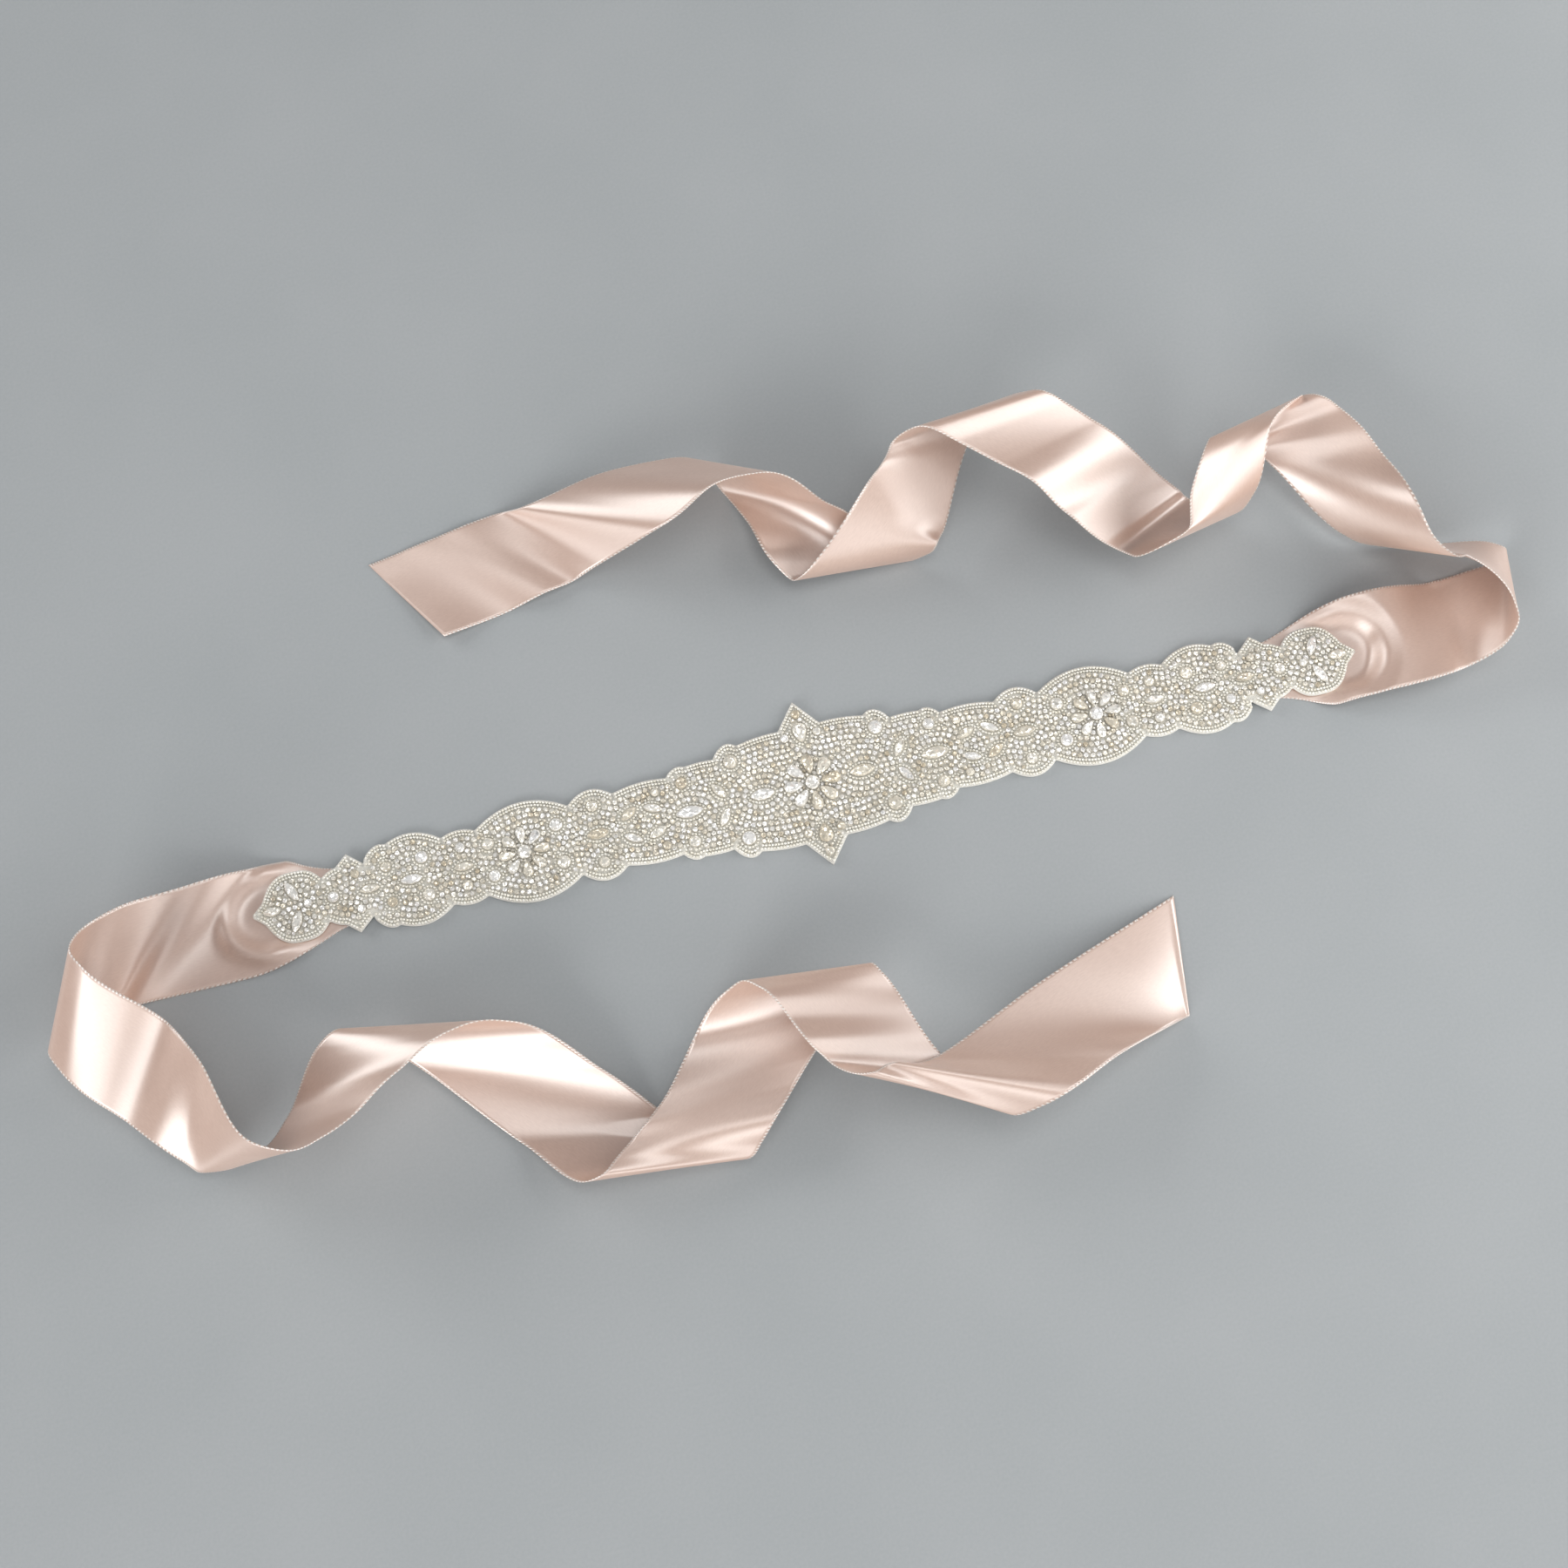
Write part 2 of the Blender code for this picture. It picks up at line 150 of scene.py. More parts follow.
RIGHT_SECTIONS = (
    (-8, 171, 0, 0.5, 89, 0, 1), (-1, 179, 0, 0.5, 88, 0, 3),
    (27, 206, 0, 7, 68, -2, 22), (66, 244, 0, 5.5, 72, -14, 19),
    (82, 260, 3, 10, 68, -23, 19), (90, 263, 7, 15, 69, -30, 13),
    (96, 260, 11, 18, 70, -38, 9), (123, 239, 24, 19.5, 101, -61, 17),
    (134, 229, 27, 19, 131, -51, 35), (143, 223, 34, 19, 140, -52, 34),
    (165, 212, 65, 20.5, 162, -22, 28), (196, 200, 85, 16, -169, -9, 15),
    (212, 190, 86, 20, -159, 7, 33), (224, 187, 86, 29.5, -163, 18, 33),
    (244, 172, 71, 34.5, -153, 4, 21), (260, 165, 55, 27.5, -158, 26, 11),
    (277, 151, 55, 14.5, -159, 22, 30), (281, 148, 59, 11, -153, 23, 26),
    (297, 140, 65, 12.5, -154, 22, 31), (342, 112, 92, 34, -160, 19, 33),
    (374, 86, 109, 37, -168, 18, 41), (385, 77, 110, 32.5, -165, 20, 39),
    (390, 73, 107, 30.5, -164, 26, 36), (422, 54, 83, 23, 155, 34, 2),
    (448, 37, 72, 9, 179, 5, 36), (455, 33, 73, 4.5, 179, 8, 34),
    (462, 29, 78, 5, 173, 11, 39), (479, 22, 91, 8, 157, 2, 36),
    (501, 12, 107, 11, 145, -22, 43), (526, -4, 118, 21, 139, -35, 37),
    (535, -14, 119, 21, 142, -34, 38), (577, -55, 111, 19.5, 148, -23, 50),
    (598, -73, 112, 3, 137, -8, 35), (616, -90, 109, 2, 137, -2, 36),
    (655, -128, 102, 1, 122, 0, 23),
)


def smooth_step(low, high, value):
    """0 below low, 1 above high, and a soft rise between."""
    share = np.clip((np.asarray(value, float) - low) / (high - low), 0, 1)
    return share * share * (3 - 2 * share)


def selvedges(sections, along):
    """Both selvedges at the given ribbon lengths, as two arrays of points."""
    rows = np.array(sections, float)
    keys = rows[:, 0] * MM
    yaw, rise, slant = np.radians(rows[:, 4:].T)
    heading = np.stack([np.cos(yaw) * np.cos(rise), np.sin(yaw) * np.cos(rise), np.sin(rise)], 1)
    reach = heading * (RIBBON_WIDTH / 2 / np.cos(slant))[:, None]
    return [smooth_curve(keys, rows[:, 1:4] * MM + side * reach, along) for side in (-1, 1)]


def smooth_curve(keys, points, along):
    """A cubic through the points, with slopes from their neighbours."""
    spans = np.diff(keys)[:, None]
    chords = np.diff(points, axis=0) / spans
    inner = (chords[:-1] * spans[1:] + chords[1:] * spans[:-1]) / (spans[:-1] + spans[1:])
    slopes = np.vstack([chords[:1], inner, chords[-1:]])
    i = np.clip(np.searchsorted(keys, along, side="right") - 1, 0, len(keys) - 2)
    span = spans[i]
    t = ((along - keys[i])[:, None]) / span
    return (points[i] * (2 * t ** 3 - 3 * t ** 2 + 1) + slopes[i] * (t ** 3 - 2 * t ** 2 + t) * span
            + points[i + 1] * (3 * t ** 2 - 2 * t ** 3) + slopes[i + 1] * (t ** 3 - t ** 2) * span)


print("tails:", LEFT_SECTIONS[-1][0] - LEFT_SECTIONS[0][0], "and",
      RIGHT_SECTIONS[-1][0] - RIGHT_SECTIONS[0][0], "mm long")

# %% [markdown]
# ## The ribbon as cloth
#
# Each tail is one continuous thin sheet.  Near the panel it is drawn together
# and sewn down, so the satin puffs up in a soft ridge round the panel's round
# end, with a hollow inside it.  Further on, soft creases run across it, uneven
# in length and depth.  A ribbon bends only along lines from one selvedge to the
# other, so each crease is a row of a short table that lifts or sinks the two
# selvedges at one place, and a smooth curve joins the rows.

# %% Soft creases
WAVE_SHARE = 0.85               # how much of the lifts below the cloth takes up

# columns: along, lift of the first selvedge, lift of the second (mm)
LEFT_WAVES = (
    (42, 0, 0), (55, 1.5, 0), (66, -1.5, -3), (78, 1, 2), (90, 0, -1),
    (104, 1.5, 1.5), (118, -2, -0.5), (130, -0.5, -1), (144, 0, -1.5), (154, 2, 2), (165, 1, 0.5),
    (179, -3, -2), (189, -2, -1), (198, 0, 0), (214, 0, 2), (222, -3.5, 1), (230, -1.5, -3),
    (240, -2.5, -0.5), (254, 1, -1), (264, 4, 0.5), (272, 0, 1), (282, 0, -1), (299, 3, -2),
    (308, 3, -1.5), (320, 2, -0.5), (334, 0, -0.5), (348, -2.5, -2), (360, -2, -1), (372, 0, 0),
    (384, 0, -1), (395, 4, -0.5),
    (408, -2.5, 4.5), (420, -5, 3.5), (440, 0, -2.5), (452, -0.5, 2.5), (463, 0, 0), (477, -5, 0.5),
    (486, -1, -1.5), (496, 4, 2), (502, 5, 0), (509, 2, -4), (518, 0, 0), (526, 1.5, 0), (536, -2, -2),
    (546, 0.5, 2), (554, -1.5, 1.5), (580, -1, 1.5), (615, 0.5, 0), (640, -1.5, -0.5),
)
RIGHT_WAVES = (
    (40, 0, 0), (50, 2.5, -2), (60, 3, -2), (69, -1, 0.5), (78, 0.5, 1), (88, -1.5, 0), (98, 0, 0),
    (128, 0, 0), (142, -5, 5), (154, -1, 2), (168, -6, 0.5), (180, -2.5, 3), (189, -1, 4), (205, 3, -2),
    (216, 0, 0), (228, 0, -1.5), (238, -1.5, 2), (256, 3.5, -3.5), (266, 0, 1), (278, -1.5, -2.5),
    (286, 0.5, -1.5), (302, 2, 1.5), (312, 0, 2), (320, -1, 0), (330, -1.5, 2), (344, -2, -1),
    (358, 0, 0), (371, 5, 5),
    (386, -0.5, -3), (400, 3.5, -1), (418, -2.5, 1.5), (430, 2.5, -2), (442, -1.5, 1), (456, -0.5, 1.5),
    (466, 0, 2), (482, 3.5, -3.5), (494, 3, -3), (507, -4, 4), (518, 0, 0), (538, 0, 0), (551, 1, 2.5),
    (568, -2.5, 0), (580, -1.5, -1), (600, 1.5, 1), (610, -1, 0.5), (621, 1.5, -1), (634, -1, -1),
    (655, 3, -2),
)
UNDER_PANEL = (-20, 0, 0)       # the sewn end of either tail is not lifted


def wave_lifts(waves, along):
    """How far each selvedge is lifted at the given ribbon lengths."""
    rows = np.array([UNDER_PANEL, *waves], float) * MM
    return smooth_curve(rows[:, 0], rows[:, 1:] * WAVE_SHARE, along)


print("creases:", len(LEFT_WAVES), "and", len(RIGHT_WAVES), "rows")

# %% Gathers round the panel's ends
PANEL_HALF = 204 * MM           # half its length
PANEL_DROP = 0.8 * MM           # its middle line lies this far in front of y = 0
CLOTH = 0.4 * MM                # thickness of the satin
NECK = (168 * MM, 200 * MM)     # sewn down, and opened to the full width
NECK_SHARE = 0.55               # of the full width, where it is sewn down
GATHER_REACH = 50 * MM          # length of ribbon that the gathers take up
RING_MIDDLE = 199 * MM          # the ring of gathers about the end motif
RING_LENGTH, RING_DEPTH = 15.5 * MM, 14.5 * MM
RING_FREE = (0.85, 1.5)         # held flat inside the ring, and free outside it
RIDGE_WIDTH = 0.22              # as a share of the ring
RIDGE_HEIGHT = 3.2 * MM
RIDGE_ENDS = (182 * MM, 200 * MM)       # from nothing, and up to its full height
AIR = 0.1 * MM                  # under the cloth that lies flat


def gather(points, along):
    """Draw the first stretch in, lay it flat and puff it up round the end motif."""
    x, y = np.abs(points[..., 0]), points[..., 1] + PANEL_DROP
    radius = np.hypot((x - RING_MIDDLE) / RING_LENGTH, y / RING_DEPTH)
    radius = np.where(x < RING_MIDDLE, np.abs(y) / RING_DEPTH, radius)
    near = 1 - smooth_step(0.6 * GATHER_REACH, GATHER_REACH, along)
    free = smooth_step(*RING_FREE, radius)
    free = free + (1 - free) * (1 - near)
    floor = CLOTH / 2 + AIR
    height = floor + np.maximum(points[..., 2] - floor, 0) * free
    ridge = np.exp(-((radius - 1.0) / RIDGE_WIDTH) ** 2) * smooth_step(*RIDGE_ENDS, x)
    return height + near * ridge * RIDGE_HEIGHT


def ribbon_surface(sections, waves, along, across):
    """Points of the cloth's middle for a grid of places on the ribbon."""
    low, high = selvedges(sections, along)
    middle = (low + high)[:, None] / 2
    share = across[None, :, None] * np.ones((len(along), 1, 1))
    near = (along < GATHER_REACH)[:, None, None]
    narrow = NECK_SHARE + (1 - NECK_SHARE) * smooth_step(*NECK, np.abs(middle[..., :1]))
    share = np.where(near, share * narrow, share)
    points = middle + (high - low)[:, None] / 2 * share
    lifts = wave_lifts(waves, along)
    points[..., 2] += (lifts[:, :1] * (1 - across) + lifts[:, 1:] * (1 + across)) / 2
    points[..., 2] = np.where(near[..., 0], gather(points, along[:, None]), points[..., 2])
    points[..., 2] = np.maximum(points[..., 2], (CLOTH + AIR) / 2)
    return points - SASH_MIDDLE


# %% [markdown]
# ## From a flat grid to a tail
#
# A flat grid of squares becomes the ribbon: each corner of the grid is moved to
# its place on the curved sheet, and keeps its place on the flat ribbon as a UV
# map, in metres, for the weave.  A Solidify modifier gives it its thickness.

# %% One tail from a grid
LANES = 30                      # across the ribbon
PITCH = 1.1 * MM                # along it


def make_tail(name, sections, waves, material, nodes):
    """One tail of the sash as a thin sheet with a picot selvedge."""
    start, end = sections[0][0] * MM, sections[-1][0] * MM
    steps = round((end - start) / PITCH)
    along = np.linspace(start, end, steps + 1)
    across = np.linspace(-1, 1, LANES + 1)
    points = ribbon_surface(sections, waves, along, across)
    sheet = bmesh.new()
    bmesh.ops.create_grid(sheet, x_segments=steps, y_segments=LANES, size=1, calc_uvs=False)
    uv = sheet.loops.layers.uv.new("ribbon")
    places = {}
    for vert in sheet.verts:
        i = round((vert.co.x + 1) / 2 * steps)
        j = round((vert.co.y + 1) / 2 * LANES)
        places[vert] = (across[j] * RIBBON_WIDTH / 2, along[i])
        vert.co = points[i, j]
    for face in sheet.faces:
        for loop in face.loops:
            loop[uv].uv = places[loop.vert]
    piece = finish_mesh(name, sheet, material)
    wall = piece.modifiers.new("cloth", "SOLIDIFY")
    wall.thickness = CLOTH
    wall.offset = 0
    wall.use_even_offset = False
    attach(piece, "root")
    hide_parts(*nodes)
    print(name, len(piece.data.polygons), "faces")


# %% [markdown]
# ## Satin
#
# Double-faced polyester satin: long floats of fine yarn lie side by side along
# the ribbon, on both faces.  That gives the eye a soft sheen that stretches
# across the ribbon and is narrow along it, so the roughness is anisotropic,
# with the tangent taken across.  Fibre has an index of about 1.6, but light is
# thrown back by many layers of yarn, so a higher index stands in for them.  The
# yarn itself is 0.1 mm and too fine to show, so the grain is drawn 0.5 mm wide
# and 2 mm long.  A picot selvedge, a row of tiny loops, runs along both sides.

# %% The satin material
PICOT_PITCH = 1.3 * MM
PICOT_WIDTH = 0.7 * MM
YARNS = (1 / (0.5 * MM), 1 / (2 * MM), 1)   # grains to a metre, across and along


def picot_loops(material, place):
    """A row of tiny loops along both selvedges, from 0 to 1."""
    parts = add_node(material, "ShaderNodeSeparateXYZ", {"Vector": place})
    side = add_node(material, "ShaderNodeMath", {0: parts.outputs["X"]}, operation="ABSOLUTE")
    selvedge = RIBBON_WIDTH / 2
    edge = add_node(material, "ShaderNodeMapRange",
                    {"Value": side.outputs[0], "From Min": selvedge - PICOT_WIDTH,
                     "From Max": selvedge - PICOT_WIDTH / 2})
    phase = add_node(material, "ShaderNodeMath",
                     {0: parts.outputs["Y"], 1: math.tau / PICOT_PITCH}, operation="MULTIPLY")
    wave = add_node(material, "ShaderNodeMath", {0: phase.outputs[0]}, operation="SINE")
    dots = add_node(material, "ShaderNodeMapRange",
                    {"Value": wave.outputs[0], "From Min": -0.6, "From Max": 0.4})
    both = add_node(material, "ShaderNodeMath",
                    {0: edge.outputs["Result"], 1: dots.outputs["Result"]}, operation="MULTIPLY")
    return both.outputs[0]


def make_satin():
    """Blush satin with its grain, its picot selvedges and its sheen across."""
    material, shader = new_material("double_faced_satin", Roughness=0.42, Anisotropic=0.5, IOR=2.4,
                                    Sheen_Weight=0.2, Sheen_Roughness=0.4, Specular_IOR_Level=1.0)
    place = add_node(material, "ShaderNodeUVMap", uv_map="ribbon")
    stretch = add_node(material, "ShaderNodeMapping", {"Vector": place.outputs["UV"], "Scale": YARNS})
    grain = add_node(material, "ShaderNodeTexNoise",
                     {"Vector": stretch.outputs["Vector"], "Scale": 1.0, "Detail": 2.0})
    broad = add_node(material, "ShaderNodeTexNoise",
                     {"Vector": place.outputs["UV"], "Scale": 1 / (25 * MM), "Detail": 2.0})
    mixed = add_node(material, "ShaderNodeMath",
                     {0: grain.outputs["Fac"], 1: broad.outputs["Fac"]}, operation="MULTIPLY")
    dyed = add_node(material, "ShaderNodeValToRGB", {"Fac": mixed.outputs[0]},
                    ((0.1, "#c5a08d"), (0.4, "#d4b2a0")))
    loops = picot_loops(material, place.outputs["UV"])
    edged = add_node(material, "ShaderNodeMix",
                     {"Factor": loops, "A": dyed.outputs["Color"], "B": linear("#f6ece4")},
                     data_type="RGBA")
    yarn_bump = add_node(material, "ShaderNodeBump",
                         {"Height": grain.outputs["Fac"], "Strength": 0.25, "Distance": 0.05 * MM})
    bump = add_node(material, "ShaderNodeBump",
                    {"Height": loops, "Normal": yarn_bump.outputs["Normal"], "Strength": 0.6,
                     "Distance": 0.4 * MM})
    tangent = add_node(material, "ShaderNodeTangent", direction_type="UV_MAP", uv_map="ribbon")
    feed(material, shader, Base_Color=edged.outputs["Result"], Normal=bump.outputs["Normal"],
         Tangent=tangent.outputs["Tangent"])
    return material


satin = make_satin()
print(satin.name, len(satin.node_tree.nodes), "nodes")

# %% Both tails
make_tail("left_ribbon_tail", LEFT_SECTIONS, LEFT_WAVES, satin,
          [f"left_tail_{i}" for i in range(1, 8)])
make_tail("right_ribbon_tail", RIGHT_SECTIONS, RIGHT_WAVES, satin,
          [f"right_tail_{i}" for i in range(1, 9)])

# %% [markdown]
# ## The outline of the beaded panel
#
# The panel is symmetrical: a point in the middle of each long side, then
# round lobes, long leaf-shaped swells and a round motif at each end.  Its
# edge is the outermost line of a row of motifs, so a short table of them
# gives the outline anywhere.  The ends lie on the ribbon, a wall higher.

# %% Outline table and height
PANEL_WALL = 0.8 * MM
PANEL_TOP = 1.0                 # beads stand on this height above the panel's underside (mm)

# columns: middle, crest, reach, fall (mm), power (1 straight, 2 round)
MOTIFS = np.array((
    (0, 31, 8, 10, 1), (11, 21.5, 18, 3, 2), (27, 21.5, 6, 4.5, 2), (38, 17.3, 12, 1.5, 2),
    (46, 17.5, 5, 3, 2), (59, 15.2, 15, 2.6, 2), (79, 17, 9, 4.5, 2), (104, 18.5, 18, 6.5, 2),
    (128, 13.8, 8, 2.5, 2), (146, 17, 13, 5.5, 2), (156, 15.4, 6, 4, 2), (168, 14.5, 8, 7, 1),
    (172, 10.5, 6, 2.5, 2), (188, 12.8, 12, 8.5, 3), (204, 0.6, 6, -5.4, 1)))


def panel_reach(x):
    """Half the panel's depth at each x, all in mm: the outermost motif there."""
    away = np.abs(np.abs(np.asarray(x, float))[..., None] - MOTIFS[:, 0])
    crests = MOTIFS[:, 1] - MOTIFS[:, 3] * (away / MOTIFS[:, 2]) ** MOTIFS[:, 4]
    return np.where(away <= MOTIFS[:, 2] + 1e-6, crests, 0).max(-1)


CLIMB = (150, 170)              # where the panel rises onto the ribbon (mm)
CLIMB_HEIGHT = 1.3              # a wall of ribbon and the air about it (mm)


def panel_height(x):
    """Underside of the panel above the table, in mm."""
    return CLIMB_HEIGHT * smooth_step(*CLIMB, np.abs(x))


OUTLINE_PLACES = 1361           # about one in each 0.3 mm
outline_x = np.linspace(-PANEL_HALF / MM, PANEL_HALF / MM, OUTLINE_PLACES)
outline_y = panel_reach(outline_x)
outline = np.vstack([np.stack([outline_x, outline_y], 1),
                     np.stack([outline_x[::-1], -outline_y[::-1]], 1)])

# %% [markdown]
# ## Organza ground
#
# Organza is a crisp, sheer, plain-woven net of fine silk or polyester yarn.
# Two layers are stitched together under the beads, so it reads as white with
# a fine grid.  Its threads are too fine to show, so the grid is drawn at
# 0.4 mm.  A narrow edge of it shows outside the outer row of beads.

# %% The organza ground
THREAD = 0.4 * MM
GROUND_COLUMNS, GROUND_ROWS = 680, 6


def make_organza():
    """White cloth with a checked weave in its colour and its relief."""
    material, shader = new_material("white_organza", Roughness=0.55, Sheen_Weight=0.2)
    place = add_node(material, "ShaderNodeTexCoord")
    weave = add_node(material, "ShaderNodeTexChecker",
                     {"Vector": place.outputs["Object"], "Scale": 1 / THREAD,
                      "Color1": linear("#f4f2ec"), "Color2": linear("#dcdad2")})
    bump = add_node(material, "ShaderNodeBump",
                    {"Height": weave.outputs["Fac"], "Strength": 0.3, "Distance": 0.1 * MM})
    feed(material, shader, Base_Color=weave.outputs["Color"], Normal=bump.outputs["Normal"])
    return material


def make_ground(material):
    """A grid whose long sides are drawn to the scalloped outline."""
    sheet = bmesh.new()
    bmesh.ops.create_grid(sheet, x_segments=GROUND_COLUMNS, y_segments=GROUND_ROWS, size=1)
    for vert in sheet.verts:
        x = vert.co.x * PANEL_HALF / MM
        y = vert.co.y * float(panel_reach(x))
        vert.co = place_on_panel(x, y, PANEL_TOP)
    piece = finish_mesh("organza_ground_cloth", sheet, material)
    wall = piece.modifiers.new("layers", "SOLIDIFY")
    wall.thickness = PANEL_WALL
    wall.offset = -1
    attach(piece, "root")
    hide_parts("organza_ground")
    print(piece.name, len(piece.data.polygons), "faces")


def place_on_panel(x, y, height):
    """A point of the panel in metres, in the sash's frame."""
    lift = (float(panel_height(x)) + height) * MM
    return Vector((x * MM, y * MM - PANEL_DROP, lift)) - Vector(SASH_MIDDLE)


make_ground(make_organza())

# %% [markdown]
# ## Where every bead goes
#
# Bead workers first sew the large stones, then edge each of them with rows of
# small ones, then follow the outline with more rows, and fill what is left.
# The layout does the same.  A bed keeps the places that are taken, and a bead
# is sewn only where it is free.

# %% The stones of the design
# columns: cut, x, y, length, width (mm), turn (degrees), rows of stones round it
STONES = (
    ("round", 0, 0, 5.2, 5.2, 0, 0), ("pear", 0, 19, 7, 4.6, -90, 1),
    ("round", 0, 26, 3.2, 3.2, 0, 0),
    ("round", 6, 18, 3, 3, 0, 0), ("marquise", 18.5, 0, 9, 4.2, 0, 4), ("round", 27, 14.5, 5, 5, 0, 1),
    ("marquise", 33.5, 5, 7, 3, 55, 1), ("marquise", 45.5, 0, 10, 4.2, 0, 4),
    ("round", 46, 11, 4.2, 4.2, 0, 1), ("round", 56, 10, 3, 3, 0, 0),
    ("marquise", 58, 4.5, 7, 3, 20, 1), ("marquise", 67, 4.5, 7, 3, -30, 1),
    ("marquise", 79, 0, 8, 3.6, 0, 2), ("round", 79, 10.5, 4, 4, 0, 1),
    ("round", 93, 7, 4.6, 4.6, 0, 1), ("round", 106, 0, 5, 5, 0, 0),
    ("round", 118, 6, 4.2, 4.2, 0, 1), ("round", 128, 7, 3.6, 3.6, 0, 0),
    ("marquise", 128, 0, 7, 3, 0, 1), ("round", 142, 7, 4.4, 4.4, 0, 1),
    ("marquise", 147, 0, 8, 3.4, 0, 2), ("round", 155, 6.5, 3.6, 3.6, 0, 1),
    ("marquise", 162, 0, 7, 3, 0, 1), ("round", 166, 6.5, 3, 3, 0, 0),
    ("round", 175, 0, 4, 4, 0, 1), ("marquise", 189, 5.5, 8, 3.4, 65, 0), ("round", 184, 0, 3, 3, 0, 0),
    ("marquise", 197, 0, 6.5, 3.4, 0, 0),
)
# columns: x, petals, radius, length, width (mm)
FLOWERS = ((0, 8, 6.9, 7, 3.9), (106, 8, 6.2, 6, 3.2))
CHAIN = 2.0                     # across a small stone (mm)
SEED = 1.15                     # across a seed bead (mm)


def all_stones():
    """Each large stone, mirrored left-right and front-back."""
    placed = []
    for cut, x, y, length, width, turn, rows in STONES:
        for side in (1, -1) if x else (1,):
            for half in (1, -1) if y else (1,):
                turned = turn * half * (side if x else 1)
                placed.append((cut, x * side, y * half, length, width, math.radians(turned), rows))
    for middle, petals, radius, length, width in FLOWERS:
        for side in (1, -1) if middle else (1,):
            for i in range(petals):
                turn = math.tau * i / petals
                placed.append(("pear", middle * side + radius * math.cos(turn), radius * math.sin(turn),
                               length, width, turn + math.pi, 0))
    return placed


print(len(all_stones()), "large stones in the design")

# %% Lines to sew along
PEAR_TAPER = 0.45
TINY = 1e-9                     # keeps a division clear of zero
OUTLINE_NEAR = 24               # the outline is measured this far to either side (mm)


def cut_outline(cut, length, width, count):
    """Points round a stone of that cut, at the origin, turned along X."""
    t = np.arange(count) * math.tau / count
    u, v = np.cos(t) * length / 2, np.sin(t) * width / 2
    if cut == "marquise":
        v *= np.sqrt(np.abs(np.sin(t)))
    if cut == "pear":
        v *= 1 - PEAR_TAPER * np.cos(t)
    return np.stack([u, v], 1)


def row_round(points, pitch):
    """Places at even spacing along a closed line."""
    closed = np.vstack([points, points[:1]])
    walked = np.concatenate([[0], np.cumsum(np.linalg.norm(np.diff(closed, axis=0), axis=1))])
    count = max(3, round(walked[-1] / pitch))
    stops = np.arange(count) * walked[-1] / count
    return np.stack([np.interp(stops, walked, closed[:, k]) for k in (0, 1)], 1)


def grown(points, distance):
    """A closed line moved outwards by a distance."""
    ahead, behind = np.roll(points, -1, 0), np.roll(points, 1, 0)
    along = ahead - behind
    along /= np.linalg.norm(along, axis=1)[:, None] + TINY
    return points + distance * np.stack([along[:, 1], -along[:, 0]], 1)


def depth_inside(x, y):
    """How far a place is inside the panel's outline; negative outside."""
    near = outline[np.abs(outline[:, 0] - x) < OUTLINE_NEAR]
    distance = np.sqrt(((near - (x, y)) ** 2).sum(1).min())
    return distance if abs(y) < panel_reach(x) else -distance


# %% The bed of beads
CELL = 4                        # side of a cell of the bed (mm)
SQUEEZE = 0.97                  # beads in a row may touch this closely


class Bed:
    """The places already taken on the panel, in a grid of cells."""

    def __init__(self):
        self.cells = {}

    def near(self, x, y):
        """Beads in the cell of a place and in the cells round it."""
        column, row = int(x // CELL), int(y // CELL)
        for i in (column - 1, column, column + 1):
            for j in (row - 1, row, row + 1):
                yield from self.cells.get((i, j), ())

    def free(self, x, y, radius):
        """Whether a bead of that radius fits there."""
        return all((x - a) ** 2 + (y - b) ** 2 >= (radius + r) ** 2 for a, b, r in self.near(x, y))

    def take(self, x, y, radius):
        self.cells.setdefault((int(x // CELL), int(y // CELL)), []).append((x, y, radius))


def sew_rows(bed, candidates, radius, least_depth, beads):
    """Sew beads along a line wherever there is room for them."""
    for x, y in candidates:
        if depth_inside(x, y) >= least_depth and bed.free(x, y, radius * SQUEEZE):
            bed.take(x, y, radius)
            beads.append((x, y, radius))


# %% Rows round the edge and round the stones
EDGE_INSETS = (0.75, 1.95)      # the two rows of seed beads along the outline (mm)
EDGE_SLACK = 0.25
RING_GROWTH = (0.85, 2.5, 4.65, 6.8)    # from a stone to the rows round it (mm)
RING_INSIDE = 3.4               # these rows keep clear of the edge rows (mm)
RING_PITCH = 1.04               # in beads
STONE_POINTS = 48               # round a stone, where a row follows it
LONG = 1.2                      # a stone this much longer than wide is a long one
LONG_SHARES = (-0.62, -0.3, 0, 0.3, 0.62)   # discs that cover a long stone
LONG_TAPER, POINT_TAPER = 0.55, 0.3     # they shrink to both ends, and to a pear's point


def take_stone(bed, cut, x, y, length, width, turn):
    """Mark a stone's place with one disc, or with a row of them along a long stone."""
    for share in LONG_SHARES if length > LONG * width else (0,):
        reach = width / 2 * (1 - LONG_TAPER * abs(share))
        if cut == "pear":
            reach *= 1 - POINT_TAPER * share
        along = share * (length / 2)
        bed.take(x + along * math.cos(turn), y + along * math.sin(turn), reach)


def lay_out():
    """Large stones, two rows along the outline, and rows round the stones."""
    bed, seeds, chains = Bed(), [], []
    stones = all_stones()
    for *stone, _rows in stones:
        take_stone(bed, *stone)
    for inset in EDGE_INSETS:
        edge = row_round(grown(outline[::-1], -inset)[::-1], SEED)
        sew_rows(bed, edge, SEED / 2, inset - EDGE_SLACK, seeds)
    for cut, x, y, length, width, turn, rows in stones:
        spin = np.array(((math.cos(turn), math.sin(turn)), (-math.sin(turn), math.cos(turn))))
        for row in range(rows):
            shape = grown(cut_outline(cut, length, width, STONE_POINTS), RING_GROWTH[row])
            size, beads = ((SEED, seeds), (CHAIN, chains))[min(row, 1)]
            line = row_round(shape @ spin + (x, y), size * RING_PITCH)
            sew_rows(bed, line, size / 2, RING_INSIDE, beads)
    return bed, stones, seeds, chains


